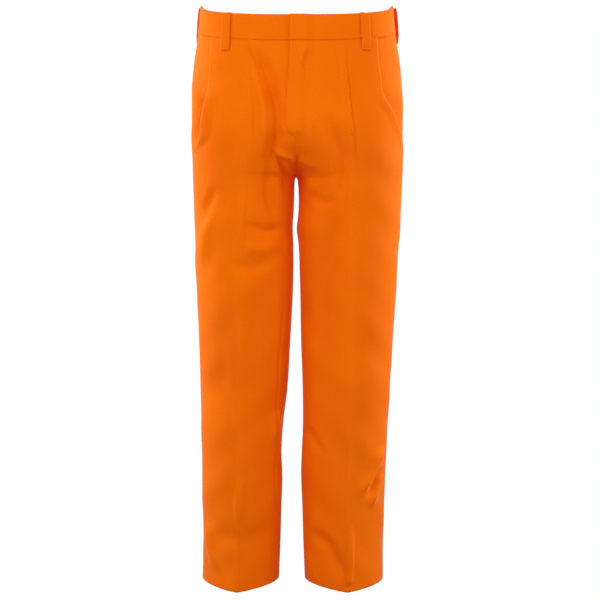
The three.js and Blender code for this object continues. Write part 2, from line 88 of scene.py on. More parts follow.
# Outline stations, each (height, size). The two legs hang a little differently.
OUTER = {
    LEFT: [(0, 165), (60, 165), (140, 167), (262, 171), (361, 176), (463, 182), (540, 187),
           (640, 191.5), (690, 194.5), (775, 197), (850, 197.5), (900, 197), (960, 192.5),
           (1030, 181.5), (1075, 177.5)],
    RIGHT: [(0, 178), (60, 176), (140, 176.5), (262, 178), (361, 179.5), (480, 182.5), (570, 186),
            (640, 187.5), (700, 189), (775, 191.5), (850, 192.5), (900, 192), (960, 188),
            (1030, 178.5), (1075, 174.5)],
}
INNER = {
    LEFT: [(0, 17.5), (60, 15), (130, 13), (200, 10.5), (300, 14), (360, 13.5), (450, 10.5), (575, 8),
           (640, 5.2), (665, 2.2), (690, 5), (722, 6), (748, 4.6), (759, 2.6), (762, 0.1)],
    RIGHT: [(0, 33.5), (60, 31), (130, 29), (200, 27), (237, 28.5), (300, 25), (360, 17.5), (450, 12),
            (520, 8), (575, 5.8), (640, 6), (668, 7), (700, 5), (735, 4), (752, 3.2), (759, 2), (762, 0.1)],
}
CREASE_AT = {
    LEFT: [(0, 95), (300, 97), (600, 97), (850, 95), (1030, 92)],
    RIGHT: [(0, 108), (200, 106), (600, 97), (850, 94), (1030, 92)],
}
FRONT = [(0, 94), (200, 89), (400, 89), (600, 99), (700, 108), (762, 114), (820, 123.5), (860, 126.4),
         (900, 120.8), (950, 113.6), (996, 107), (1041, 105), (1075, 104)]
BACK = [(0, 92), (200, 89), (400, 92), (500, 100), (600, 107), (700, 116), (762, 127), (820, 137), (880, 141),
        (940, 132), (1000, 114), (1030, 107), (1075, 105)]
CREASE = [(0, 0.42), (90, 0.38), (200, 0.22), (400, 0.13), (600, 0.1), (762, 0.04), (900, 0)]
INSEAM_AT = [(0, 0), (762, 8)]
# The side pocket's slanted edge, each (level, share of the way from the centre front to the side seam)
MOUTH = {
    LEFT: [(780, 1), (800, 0.95), (838, 0.85), (873, 0.766), (895, 0.7), (930, 0.677), (1003, 0.672)],
    RIGHT: [(780, 1), (796, 0.93), (818, 0.8), (860, 0.745), (897, 0.716), (938, 0.703), (1003, 0.71)],
}
MOUTH_FOOT = 780
# How far the fly's free edge laps over the other side, each (level, reach)
FLY_REACH = [(826, 0), (832, 10), (842, 15), (862, 17.5), (900, 16), (972, 11), (1000, 10)]


def mix(a, b, t):
    return a + (b - a) * t


def smooth(t):
    t = np.clip(t, 0, 1)
    return t * t * (3 - 2 * t)


def along(stations, height):
    """A smooth curve through (height, size) stations."""
    h, v = np.array(stations, float).T
    slope = np.gradient(v, h)
    height = np.clip(height, h[0], h[-1])
    i = np.clip(np.searchsorted(h, height) - 1, 0, len(h) - 2)
    step = h[i + 1] - h[i]
    t = (height - h[i]) / step
    start = (1 + 2 * t) * (1 - t) ** 2 * v[i] + t * (1 - t) ** 2 * step * slope[i]
    return start + t * t * (3 - 2 * t) * v[i + 1] + t * t * (t - 1) * step * slope[i + 1]


# ---- The garment's surface ----

def crease_angle(half, height):
    share = along(CREASE_AT[half], height) / along(OUTER[half], height)
    return np.arcsin(share ** (BODY_ROUNDNESS / 2))


def body_angle(half, u, height):
    middle = crease_angle(half, height)
    return np.where(u < 0.5, 2 * u * middle, mix(middle, math.pi / 2, 2 * u - 1))


def body_point(half, u, height, depth):
    angle = body_angle(half, u, height)
    x = along(OUTER[half], height) * np.sin(angle) ** (2 / BODY_ROUNDNESS)
    return x, depth * np.maximum(np.cos(angle), 0) ** (2 / BODY_ROUNDNESS)


def round_point(half, u, height, depth):
    crease = along(CREASE_AT[half], height)
    angle = math.pi / 2 * np.abs(2 * u - 1)
    inside = u < 0.5
    edge = np.where(inside, along(INNER[half], height), along(OUTER[half], height))
    sharp = along(CREASE, height)
    reach = (1 - sharp) * np.cos(angle) + sharp * (1 - np.sin(angle))
    seam = np.where(inside, along(INSEAM_AT, height), 0)
    return mix(crease, edge, np.sin(angle)), mix(seam, depth, reach)


def leg_point(half, u, height, body_depth):
    share = smooth((height - THIGH_FROM) / (INSIDE_LEG - THIGH_FROM))
    depth = mix(body_depth, body_point(half, 0.5 + 0 * u, height, body_depth)[1], share)
    outer = round_point(half, u, height, body_depth)
    body = body_point(half, u, height, body_depth)
    inner = round_point(half, u, height, depth)
    far = u > 0.5
    return (np.where(far, mix(outer[0], body[0], share), inner[0]),
            np.where(far, mix(outer[1], body[1], share), inner[1]))


def outline(half, front, u, height):
    depth = -along(FRONT, height) if front else along(BACK, height)
    curve = FRONT_RISE_CURVE if front else BACK_RISE_CURVE
    climb = np.clip((height - INSIDE_LEG) / curve, 0, 1)
    share = np.sin(np.arccos(1 - climb))
    leg = leg_point(half, u, height, depth)
    body = body_point(half, u, height, depth)
    return mix(leg[0], body[0], share), mix(leg[1], body[1], share)


def height_of(half, front, u, level):
    """The height of a level: up to FLAT_LEVEL the same, above it tilting to run along the waist seam."""
    lean = np.maximum(np.cos(body_angle(half, u, 1000.0)), 0) ** (2 / BODY_ROUNDNESS) if front else 0
    seam = WAIST_HEIGHT - BAND_HEIGHT - FRONT_DIP * lean
    tilted = mix(FLAT_LEVEL, seam, (level - FLAT_LEVEL) / (SEAM_LEVEL - FLAT_LEVEL))
    above = seam + level - SEAM_LEVEL
    return np.where(level <= FLAT_LEVEL, level, np.where(level <= SEAM_LEVEL, tilted, above))


def half_surface(half, front, u, level):
    u = np.clip(u, 0, 1)
    height = height_of(half, front, u, level)
    x, y = outline(half, front, u, height)
    return np.stack([half * x, y, height], -1)


def surface(half, s, level):
    """s is 0 at the centre front, 1 at the side seam and 2 at the centre back."""
    front = half_surface(half, True, s, level)
    back = half_surface(half, False, 2 - s, level)
    return np.where((s <= 1)[:, None], front, back)


def normals(half, s, level):
    step = 0.006
    way = surface(half, np.minimum(s + step, 2), level) - surface(half, np.maximum(s - step, 0), level)
    front = half_surface(half, True, s, level + 1) - half_surface(half, True, s, level - 1)
    back = half_surface(half, False, 2 - s, level + 1) - half_surface(half, False, 2 - s, level - 1)
    up = np.where((s <= 1)[:, None], front, back)
    out = half * np.cross(way, up)
    return out / np.linalg.norm(out, axis=1)[:, None]


def u_at(half, x, height):
    angle = np.arcsin((np.abs(x) / along(OUTER[half], height)) ** (BODY_ROUNDNESS / 2))
    middle = crease_angle(half, height)
    beyond = (angle - middle) / (math.pi / 2 - middle)
    return np.where(angle < middle, angle / middle / 2, mix(0.5, 1, beyond))


# ---- Folds: each a line of (x, height) points on the front, with its width and how far it stands out ----

FOLD_RELIEF = 2.1


def stroke(points, width, rise, kind="soft", fade=(0.25, 0.35)):
    return {"points": np.array(points, float), "width": width, "rise": rise, "kind": kind, "fade": fade}


FRONT_FOLDS = {
    RIGHT: [
        stroke([(-84, 990), (-55, 939), (-39, 900), (-32, 868), (-33, 827), (-48, 790), (-56, 740)], 13, -6.4,
               fade=(0.2, 0.35)),
        stroke([(-80, 965), (-66, 925), (-55, 880), (-53, 830), (-55, 780), (-62, 720)], 9, 3.4,
               fade=(0.3, 0.4)),
        stroke([(-86, 985), (-76, 930), (-72, 880), (-70, 820), (-72, 760)], 5, -1.0, fade=(0.2, 0.5)),
        stroke([(-100, 940), (-99, 905), (-97, 880)], 3, -0.8, fade=(0.4, 0.4)),
        stroke([(-22, 930), (-20, 860), (-26, 815)], 8, 0.4),
        stroke([(-38, 800), (-14, 794), (2, 790)], 4, 3.2, fade=(0.2, 0.3)),
        stroke([(-33, 795), (-24, 762), (-20, 735)], 3.4, -2.6),
        stroke([(-22, 790), (-14, 768), (-9, 742)], 3, 1.6),
        stroke([(-40, 786), (-33, 745), (-26, 700)], 4.5, 1.8),
        stroke([(-56, 770), (-49, 720), (-36, 668)], 9, -2.4),
        stroke([(-92, 735), (-97, 680), (-99, 610)], 5, 1.3),
        stroke([(-20, 668), (-56, 660), (-96, 676)], 9, -2.8),
        stroke([(-22, 640), (-62, 628), (-104, 634)], 12, 2.4),
        stroke([(-40, 606), (-80, 592), (-130, 604)], 12, -1.8),
        stroke([(-140, 745), (-158, 710), (-168, 655)], 9, -1.7),
        stroke([(-152, 705), (-166, 650), (-172, 585)], 11, 2.5),
        stroke([(-120, 500), (-136, 420), (-130, 330)], 18, -1.8, fade=(0.4, 0.4)),
        stroke([(-60, 560), (-76, 480), (-70, 380)], 16, -1.4, fade=(0.4, 0.4)),
        stroke([(-34, 330), (-38, 295), (-44, 262)], 7, 2.4),
        stroke([(-98, 215), (-104, 170), (-104, 120)], 7, 1.6),
        stroke([(-50, 110), (-100, 96), (-160, 104)], 18, -1.6),
        stroke([(-165, 120), (-160, 70), (-146, 25)], 9, 2.2),
        stroke([(-20, 560), (-27, 470), (-33, 400), (-36, 330), (-39, 280), (-39, 180), (-40, 110)],
               1.8, -1.5, fade=(0.2, 0.2)),
    ],
    LEFT: [
        stroke([(36, 872), (54, 850), (70, 826), (80, 795), (84, 758), (80, 715), (70, 672)], 12, -4.2,
               fade=(0.35, 0.45)),
        stroke([(50, 880), (54, 830), (56, 780), (56, 730)], 18, 1.4, fade=(0.4, 0.4)),
        stroke([(20, 990), (12, 966), (5, 944)], 5, 1.4),
        stroke([(2, 790), (24, 784), (42, 770)], 6, 1.6),
        stroke([(6, 776), (26, 766), (40, 744)], 6, -0.9),
        stroke([(20, 730), (50, 712), (78, 716)], 10, -1.8),
        stroke([(86, 730), (68, 650), (46, 575), (36, 490), (40, 400)], 24, -5.6, fade=(0.3, 0.4)),
        stroke([(106, 700), (100, 610), (92, 520)], 26, 2.0, fade=(0.4, 0.4)),
        stroke([(22, 300), (34, 272), (52, 246)], 9, -2.2),
        stroke([(162, 266), (146, 220), (114, 172)], 7, 3.0),
        stroke([(156, 232), (146, 196), (128, 166)], 6, -2.3),
        stroke([(161, 214), (150, 180), (136, 146)], 6, 2.7),
        stroke([(60, 330), (80, 250), (86, 170)], 18, -1.6, fade=(0.4, 0.4)),
        stroke([(26, 106), (60, 80), (92, 16)], 13, -3.6),
        stroke([(100, 130), (99, 70), (97, 10)], 5, 2.6, fade=(0.3, 0.1)),
        stroke([(24, 60), (30, 30), (36, 4)], 5, 1.4),
    ],
}
PLEATS = {
    RIGHT: stroke([(-83, 1004), (-78, 978), (-68, 955), (-56, 930), (-47, 900)], 10, 1.3,
                  "pleat", (0.0, 0.6)),
    LEFT: stroke([(88, 1004), (88, 958), (94, 875), (103, 800), (112, 752)], 14, 3.0,
                 "pleat", (0.55, 0.35)),
}
BACK_FOLDS = {
    half: [
        stroke([(half * 22, 800), (half * 60, 768), (half * 110, 764), (half * 150, 790)], 14, -3.2),
        stroke([(half * 24, 770), (half * 64, 738), (half * 112, 732), (half * 152, 752)], 12, 3.0),
        stroke([(half * 30, 720), (half * 70, 694), (half * 120, 688)], 11, -2.0),
        stroke([(half * 20, 860), (half * 52, 838), (half * 84, 842)], 9, 1.6),
        stroke([(half * 30, 470), (half * 80, 442), (half * 150, 452)], 13, -3.0),
        stroke([(half * 36, 430), (half * 86, 406), (half * 156, 414)], 11, 2.6),
        stroke([(half * 34, 398), (half * 80, 372), (half * 140, 380)], 10, -1.8),
        stroke([(half * 120, 640), (half * 150, 560), (half * 152, 480)], 13, 1.8),
        stroke([(half * 60, 300), (half * 72, 200), (half * 66, 110)], 15, 1.6),
        stroke([(half * 140, 260), (half * 128, 180), (half * 134, 90)], 12, -1.6),
    ]
    for half in (LEFT, RIGHT)
}


def fold_height(fold, x, z):
    """How far one fold lifts the cloth at (x, z)."""
    points = fold["points"]
    lengths = np.linalg.norm(np.diff(points, axis=0), axis=1)
    total, before = lengths.sum(), 0.0
    best = np.full(len(x), np.inf)
    signed = np.zeros(len(x))
    share = np.zeros(len(x))
    for start, end, length in zip(points[:-1], points[1:], lengths):
        way = (end - start) / length
        t = np.clip(((x - start[0]) * way[0] + (z - start[1]) * way[1]), 0, length)
        dx, dz = x - start[0] - way[0] * t, z - start[1] - way[1] * t
        distance = np.hypot(dx, dz)
        nearer = distance < best
        best = np.where(nearer, distance, best)
        signed = np.where(nearer, distance * np.sign(way[0] * dz - way[1] * dx), signed)
        share = np.where(nearer, (before + t) / total, share)
        before += length
    begin, finish = fold["fade"]
    ends = smooth(share / begin) if begin else 1.0
    ends = ends * smooth((1 - share) / finish)
    if fold["kind"] == "pleat":
        outward = signed * np.sign(points[0][0]) / fold["width"]
        shape = np.where(outward < 0, smooth(1 + outward), smooth(1 - outward * 7))
    else:
        shape = np.exp(-(best / fold["width"]) ** 2)
    return FOLD_RELIEF * fold["rise"] * ends * shape


ALL_FRONT_FOLDS = [*FRONT_FOLDS[LEFT], *FRONT_FOLDS[RIGHT]]


def drape(half, s, base):
    """How far the cloth stands out from the plain surface, from its folds and its slow waves."""
    x, z = base[:, 0], base[:, 2]
    front = s <= 1
    lift = np.zeros(len(s))
    for fold in [*ALL_FRONT_FOLDS, PLEATS[half]]:
        lift += np.where(front, fold_height(fold, x, z), 0)
    for fold in BACK_FOLDS[half]:
        lift += np.where(front, 0, fold_height(fold, x, z))
    side = smooth(np.abs(s - 1) / 0.07)
    lift *= side
    turn = 2 * math.pi
    waves = 1.2 * np.sin(turn * (z / 310 + 0.21 * half) + 3.1 * s) * np.sin(turn * z / 173 + 5.3 * s)
    waves += 0.8 * np.sin(turn * z / 97 + 9 * s + half) * np.sin(turn * s * 1.6 + z / 60)
    waist = smooth((1000 - z) / 90)
    edge = smooth(s / 0.12) * smooth((2 - s) / 0.12)
    hem = 0.4 + 0.6 * smooth(z / 60)
    legs = smooth((INSIDE_LEG + 30 - z) / 30)
    inseam = mix(1, smooth(s / 0.14) * smooth((2 - s) / 0.14), legs)
    return lift * inseam + waves * side * edge * waist * hem


def skin(half, s, level, inward=0.0):
    """A point this far inside the cloth's outer face, in millimetres."""
    s = np.asarray(s, float)
    level = np.broadcast_to(np.asarray(level, float), s.shape)
    base = surface(half, s, level)
    free = smooth((SEAM_LEVEL + 4 - level) / 26)
    pleat = fold_height(PLEATS[half], base[:, 0], base[:, 2]) * (s <= 1)
    lift = drape(half, s, base) * free + pleat * (1 - free) * (level < SEAM_LEVEL) * 0.4
    return base + normals(half, s, level) * (lift - inward)[:, None]


def centre_front(x, level, inward=0.0):
    """A point near the centre front, by its x on either side."""
    x = np.asarray(x, float)
    level = np.broadcast_to(np.asarray(level, float), x.shape)
    inward = np.broadcast_to(np.asarray(inward, float), x.shape)
    result = np.zeros((len(x), 3))
    for half in (LEFT, RIGHT):
        mine = (x >= 0) if half == LEFT else (x < 0)
        if mine.any():
            height = height_of(half, True, 0 * x[mine], level[mine])
            place = skin(half, u_at(half, x[mine], height), level[mine], inward[mine])
            result[mine] = np.column_stack([x[mine], place[:, 1:]])
    return result


# ---- Making meshes ----

def to_frame(points):
    """Millimetres above the hem to metres from the waist."""
    moved = np.array(points, float)
    moved[..., 2] -= WAIST_HEIGHT
    return moved * MM


def make_piece(name, bm, material, body="root", stands_for=(), smooth_faces=True):
    name = name + "_made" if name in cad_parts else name
    mesh = bpy.data.meshes.new(name)
    bm.to_mesh(mesh)
    bm.free()
    mesh.polygons.foreach_set("use_smooth", [smooth_faces] * len(mesh.polygons))
    mesh.materials.append(material)
    piece = bpy.data.objects.new(name, mesh)
    bpy.context.scene.collection.objects.link(piece)
    if body:
        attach(piece, body)
    if stands_for:
        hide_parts(*stands_for)
    return piece


def sheet(name, columns, rows, place, material, thick=CLOTH, body="root", stands_for=(), flip=False):
    """A sheet of cloth: a grid whose vertices place(a, b) lays on the garment, a and b from 0 to 1."""
    bm = bmesh.new()
    bmesh.ops.create_grid(bm, x_segments=columns, y_segments=rows, size=0.5)
    bm.verts.ensure_lookup_table()
    flat = np.array([vert.co[:2] for vert in bm.verts]) + 0.5
    points = to_frame(place(flat[:, 0], flat[:, 1]))
    for vert, point in zip(bm.verts, points):
        vert.co = point
    add_cloth_map(bm, flat, points, columns, rows)
    if flip:
        bmesh.ops.reverse_faces(bm, faces=bm.faces)
    piece = make_piece(name, bm, material, body, stands_for)
    wall = piece.modifiers.new("cloth thickness", "SOLIDIFY")
    wall.thickness = thick * MM
    wall.offset = -1
    return piece


def add_cloth_map(bm, flat, points, columns, rows):
    """A UV map in metres of cloth, so that the weave follows each piece."""
    grid = np.zeros((rows + 1, columns + 1, 3))
    column = np.rint(flat[:, 0] * columns).astype(int)
    row = np.rint(flat[:, 1] * rows).astype(int)
    grid[row, column] = points
    across = np.linalg.norm(np.diff(grid, axis=1), axis=2)
    reach = np.concatenate([np.zeros((rows + 1, 1)), np.cumsum(across, axis=1)], axis=1)
    reach = reach - reach[:, -1:] / 2
    up = np.linalg.norm(np.diff(grid, axis=0), axis=2).mean(axis=1)
    climb = np.concatenate([[0], np.cumsum(up)])
    layer = bm.loops.layers.uv.new("cloth")
    where = {vert: (reach[j, i], climb[j]) for vert, i, j in zip(bm.verts, column, row)}
    for face in bm.faces:
        for loop in face.loops:
            loop[layer].uv = where[loop.vert]


# ---- Materials ----

def node_tree(name):
    material = bpy.data.materials.new(name)
    material.use_nodes = True
    nodes = material.node_tree.nodes
    return material, nodes, material.node_tree.links, nodes["Principled BSDF"]


def noise(nodes, links, source, scale, detail=3.0):
    texture = nodes.new("ShaderNodeTexNoise")
    texture.inputs["Scale"].default_value = scale
    texture.inputs["Detail"].default_value = detail
    links.new(source, texture.inputs["Vector"])
    return texture.outputs["Fac"]


def ramp(nodes, links, source, stops):
    chart = nodes.new("ShaderNodeValToRGB")
    while len(chart.color_ramp.elements) < len(stops):
        chart.color_ramp.elements.new(0.5)
    for element, (place, colour) in zip(chart.color_ramp.elements, stops):
        element.position = place
        element.color = (*colour, 1)
    links.new(source, chart.inputs["Fac"])
    return chart.outputs["Color"]


def blend_colours(nodes, links, kind, factor, first, second):
    mixer = nodes.new("ShaderNodeMix")
    mixer.data_type = "RGBA"
    mixer.blend_type = kind
    if isinstance(factor, float):
        mixer.inputs["Factor"].default_value = factor
    else:
        links.new(factor, mixer.inputs["Factor"])
    links.new(first, mixer.inputs["A"])
    links.new(second, mixer.inputs["B"])
    return mixer.outputs["Result"]


def bump(nodes, links, height, strength, distance, under=None):
    relief = nodes.new("ShaderNodeBump")
    relief.inputs["Strength"].default_value = strength
    relief.inputs["Distance"].default_value = distance
    links.new(height, relief.inputs["Height"])
    if under:
        links.new(under, relief.inputs["Normal"])
    return relief.outputs["Normal"]


def woven(name, light, dark, pitch, angle, roughness=0.86, sheen=0.7, tint=(1, 0.72, 0.38), glow=0.0):
    """Cloth: ribs of this pitch in metres at this angle, slubs, fuzz, slow changes of dye and, with glow, a
    painted red-orange glow.
    """
    material, nodes, links, shader = node_tree(name)
    place = nodes.new("ShaderNodeTexCoord")
    uv = nodes.new("ShaderNodeUVMap")
    uv.uv_map = "cloth"
    turn = nodes.new("ShaderNodeMapping")
    turn.inputs["Rotation"].default_value = (0, 0, math.radians(angle))
    links.new(uv.outputs["UV"], turn.inputs["Vector"])
    ribs = nodes.new("ShaderNodeTexWave")
    ribs.inputs["Scale"].default_value = 0.314 / pitch
    ribs.inputs["Distortion"].default_value = 0.6
    ribs.inputs["Detail"].default_value = 1.0
    links.new(turn.outputs["Vector"], ribs.inputs["Vector"])
    yarn = nodes.new("ShaderNodeTexWave")
    yarn.bands_direction = "Y"
    yarn.inputs["Scale"].default_value = 0.62 / pitch
    links.new(turn.outputs["Vector"], yarn.inputs["Vector"])
    dye = noise(nodes, links, place.outputs["Object"], 7.0)
    slub = noise(nodes, links, uv.outputs["UV"], 420.0, 2.0)
    base = ramp(nodes, links, dye, [(0.3, dark), (0.7, light)])
    grain = ramp(nodes, links, slub, [(0.25, (0.9, 0.88, 0.86)), (0.75, (1.03, 1.03, 1.03))])
    ribbed = ramp(nodes, links, ribs.outputs["Fac"], [(0.1, (0.93, 0.91, 0.9)), (0.6, (1, 1, 1))])
    dyed = blend_colours(nodes, links, "MULTIPLY", 1.0, base, grain)
    links.new(blend_colours(nodes, links, "MULTIPLY", 1.0, dyed, ribbed), shader.inputs["Base Color"])
    worn = ramp(nodes, links, noise(nodes, links, place.outputs["Object"], 24.0),
                [(0.3, (roughness - 0.07,) * 3), (0.7, (roughness + 0.05,) * 3)])
    links.new(worn, shader.inputs["Roughness"])
    fine = bump(nodes, links, ribs.outputs["Fac"], 0.35, 0.0002)
    fine = bump(nodes, links, yarn.outputs["Fac"], 0.2, 0.00015, fine)
    links.new(bump(nodes, links, noise(nodes, links, place.outputs["Object"], 60.0), 0.12, 0.0012, fine),
              shader.inputs["Normal"])
    # painted red-orange glow: emission of this strength makes the cloth give off light of its own, lifting
    # its shade
    shader.inputs["Emission Color"].default_value = (1, 0.015, 0, 1)
    shader.inputs["Emission Strength"].default_value = glow
    shader.inputs["Specular IOR Level"].default_value = 0.05
    shader.inputs["Sheen Weight"].default_value = sheen
    shader.inputs["Sheen Roughness"].default_value = 0.25
    shader.inputs["Sheen Tint"].default_value = (*tint, 1)
    return material


def metal(name, colour, roughness, grain_scale):
    """Metal with a fine brushed grain and duller patches where it has been handled."""
    material, nodes, links, shader = node_tree(name)
    place = nodes.new("ShaderNodeTexCoord")
    stretch = nodes.new("ShaderNodeMapping")
    stretch.inputs["Scale"].default_value = (1, 1, 0.08)
    links.new(place.outputs["Object"], stretch.inputs["Vector"])
    grain = noise(nodes, links, stretch.outputs["Vector"], grain_scale)
    tarnish = noise(nodes, links, place.outputs["Object"], 300.0)
    dull = tuple(part * 0.72 for part in colour)
    links.new(ramp(nodes, links, tarnish, [(0.35, dull), (0.65, colour)]), shader.inputs["Base Color"])
    links.new(ramp(nodes, links, grain, [(0.2, (roughness - 0.08,) * 3), (0.8, (roughness + 0.14,) * 3)]),
              shader.inputs["Roughness"])
    links.new(bump(nodes, links, grain, 0.15, 0.0001), shader.inputs["Normal"])
    shader.inputs["Metallic"].default_value = 1.0
    return material


def button_plastic():
    material, nodes, links, shader = node_tree("orange button plastic")
    place = nodes.new("ShaderNodeTexCoord")
    swirl = noise(nodes, links, place.outputs["Object"], 180.0, 6.0)
    links.new(ramp(nodes, links, swirl, [(0.3, (0.42, 0.09, 0.004)), (0.7, (0.62, 0.15, 0.01))]),
              shader.inputs["Base Color"])
    links.new(ramp(nodes, links, swirl, [(0.3, (0.28,) * 3), (0.7, (0.42,) * 3)]), shader.inputs["Roughness"])
    shader.inputs["Coat Weight"].default_value = 0.2
    return material


def thread():
    material, nodes, links, shader = node_tree("orange sewing thread")
    place = nodes.new("ShaderNodeTexCoord")
    twist = nodes.new("ShaderNodeTexWave")
    twist.bands_direction = "DIAGONAL"
    twist.inputs["Scale"].default_value = 700.0
    links.new(place.outputs["Object"], twist.inputs["Vector"])
    links.new(ramp(nodes, links, twist.outputs["Fac"], [(0.2, (0.66, 0.1, 0.0)), (0.8, (0.9, 0.2, 0.01))]),
              shader.inputs["Base Color"])
    links.new(bump(nodes, links, twist.outputs["Fac"], 0.4, 0.0001), shader.inputs["Normal"])
    shader.inputs["Roughness"].default_value = 0.55
    shader.inputs["Sheen Weight"].default_value = 0.2
    return material


ORANGE = (0.70, 0.156, 0.0)
ORANGE_DEEP = (0.66, 0.138, 0.0)
PAINTED_RED_GLOW = 0.18  # painted red-orange glow: the twill gives off light of its own, which keeps its shaded parts bright red-orange
TWILL = woven("orange twill", ORANGE, ORANGE_DEEP, 0.0011, 63, glow=PAINTED_RED_GLOW)
BAND_TWILL = woven("orange twill cut across", ORANGE, ORANGE_DEEP, 0.0011, -27, glow=PAINTED_RED_GLOW)
LINING_CLOTH = woven("cream lining cotton", (0.68, 0.6, 0.46), (0.6, 0.52, 0.39), 0.0007, 0, 0.9, 0.1,
                     (1, 1, 1))
TAPE = woven("orange zip tape", (0.62, 0.12, 0.005), (0.54, 0.1, 0.004), 0.0009, 90, 0.7, 0.15)
LABEL = woven("blank satin label", (0.82, 0.81, 0.78), (0.76, 0.75, 0.72), 0.0005, 0, 0.45, 0.1, (1, 1, 1))
BRASS = metal("brushed brass", (0.78, 0.53, 0.2), 0.34, 900.0)
STEEL = metal("nickelled steel", (0.62, 0.61, 0.59), 0.26, 700.0)
PLASTIC = button_plastic()
THREAD = thread()

# ---- Panels ----

PANEL_COLUMNS = 96
PANEL_ROWS = 300


def side_name(half):
    return "left" if half == LEFT else "right"


def panel_levels(b):
    return b * (SEAM_LEVEL + 3)


def mouth_share(half, level):
    return np.where(level < MOUTH_FOOT, 1.0, np.minimum(along(MOUTH[half], level), 1.0))


LIP_STAND = {LEFT: 3.4, RIGHT: 5.5}


def lip(half, s, level):
    """How far the pocket's slanted edge stands out where it gapes."""
    near = smooth(1 - (mouth_share(half, level) - s) / 0.09)
    gape = smooth((level - MOUTH_FOOT - 12) / 45) * smooth((925 - level) / 45)
    return LIP_STAND[half] * near * gape


def front_right(a, b):
    level = panel_levels(b)
    edge = u_at(RIGHT, 4.0 * smooth((level - FLY_FOOT) / 20), np.minimum(level, 996))
    s = mix(edge, mouth_share(RIGHT, level), a)
    return skin(RIGHT, s, level, -lip(RIGHT, s, level))


TAB_RISE = 5.0


def tab_rise(x):
    """How far the waistband's tab stands out, to leave room for the hook and bar behind it."""
    return TAB_RISE * smooth((36 - x) / 22)


def fly_stand(x, level):
    """How far the fly's overlap stands out over the zip, towards the tab near the waist."""
    up = smooth((level - FLY_REACH[0][0]) / 12)
    return up * mix(2.4 * smooth((18 - x) / 12), 0.9 * tab_rise(x), smooth((level - 955) / 45))


def front_left(a, b):
    """The left panel, with its fly extension lapping across the centre over the right one."""
    level = panel_levels(b)
    reach = np.where(level > FLY_REACH[0][0], along(FLY_REACH, level), 0)
    lap = 0.08 * smooth((level - FLY_REACH[0][0]) / 8) + 1e-6
    x = -reach * (1 - a / lap)
    s = mouth_share(LEFT, level) * np.clip((a - lap) / (1 - lap), 0, 1)
    points = skin(LEFT, s, level, -lip(LEFT, s, level))
    across = (a < lap) & (reach > 0.5)
    points[across] = centre_front(np.minimum(x[across], -1e-3), level[across])
    points[:, 1] -= fly_stand(points[:, 0], level)
    return points


def back_panel(half):
    def place(a, b):
        level = panel_levels(b)
        return skin(half, mix(2.0, 1.0, a), level)
    return place


front_panel_right = sheet("front_panel_right", PANEL_COLUMNS, PANEL_ROWS, front_right, TWILL,
                          stands_for=["front_panel_right"])
front_panel_left = sheet("front_panel_left", PANEL_COLUMNS, PANEL_ROWS, front_left, TWILL,
                         body=None, stands_for=["front_panel_left", "fly_overlap"], flip=True)
PANEL_TOP = to_frame([0, 0, WAIST_HEIGHT - BAND_HEIGHT - FRONT_DIP])[2]
TAB_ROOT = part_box("waistband_tab")[1].x


def bend_with_tab(piece):
    """Bakes the piece's placement into its mesh."""
    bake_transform(piece)


bend_with_tab(front_panel_left)
for half in (LEFT, RIGHT):
    name = side_name(half)
    panel = sheet(f"back_panel_{name}", PANEL_COLUMNS, PANEL_ROWS, back_panel(half), TWILL,
                  stands_for=[f"back_panel_{name}"], flip=half == RIGHT)

# ---- Waistband ----

BAND_THICK = 2.0
TAB_REACH = 10
BAND_STAND = 0.9  # how far the outer face stands out from the panels
UNDERLAP_STAND = 0.7


def folded_over(b, depth, thick, low, high):
    """Level and depth up the outside of a folded strip, over its top edge and down its inside."""
    turn = 0.04
    arc = np.clip((b - 0.5 + turn) / (2 * turn), 0, 1) * math.pi
    radius = thick / 2
    rise = np.where(b < 0.5, b / (0.5 - turn), (1 - b) / (0.5 - turn))
    level = mix(low, high - radius, np.clip(rise, 0, 1)) + radius * np.sin(arc)
    return level, depth + radius * (1 - np.cos(arc))


def waistband(half):
    lap = 0.035

    def place(a, b):
        level, depth = folded_over(b, -BAND_STAND, BAND_THICK, SEAM_LEVEL, TOP_LEVEL)
        s = 2 * np.clip((a - lap) / (1 - lap), 0, 1)
        points = surface(half, s, level)
        across = a < lap
        x = np.where(across, (-TAB_REACH if half == LEFT else 0) * (1 - a / lap), points[:, 0])
        if half == LEFT:
            depth = depth - tab_rise(x) * (s < 1)
        points = skin(half, s, level, depth)
        if across.any() and half == LEFT:
            points[across] = centre_front(np.minimum(x[across], -1e-3), level[across], depth[across])
        puff = 0.35 * np.sin(a * 61 + b * 2) * np.sin(b * math.pi) * smooth(a / 0.1)
        points[:, 1] -= puff * np.where(s < 1, 1, -1) * (b < 0.5)
        return points
    return place


band_left = sheet("waistband_left", 230, 34, waistband(LEFT), BAND_TWILL, thick=0.7,
                  body=None, stands_for=["waistband_left", "waistband_tab"], flip=True)
TAB_MIDDLE_LEVEL = 1022.0
TAB_LINE = Vector((TAB_ROOT, to_frame(centre_front([TAB_ROOT / MM], TAB_MIDDLE_LEVEL))[0][1], PANEL_TOP))
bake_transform(band_left)
band_right = sheet("waistband_right", 230, 34, waistband(RIGHT), BAND_TWILL, thick=0.7,
                   stands_for=["waistband_right"])


def underlap(a, b):
    level, depth = folded_over(b, -UNDERLAP_STAND, BAND_THICK, SEAM_LEVEL + 1, TOP_LEVEL - 1)
    x = mix(-9.7, 36.0, a)
    return centre_front(x, level, depth + 3.1 * smooth((x - 10) / 18))


piece = sheet("waistband_underlap", 30, 34, underlap, BAND_TWILL, thick=0.6,
              stands_for=["waistband_underlap"], flip=True)


def lining(half):
    first = 42 if half == LEFT else 14

    def place(a, b):
        level = mix(SEAM_LEVEL - 1, TOP_LEVEL - 4, b)
        start = u_at(half, float(first), height_of(half, True, 0.1, level))
        return skin(half, mix(start, 2.0, a), level, 2.6)
    return place


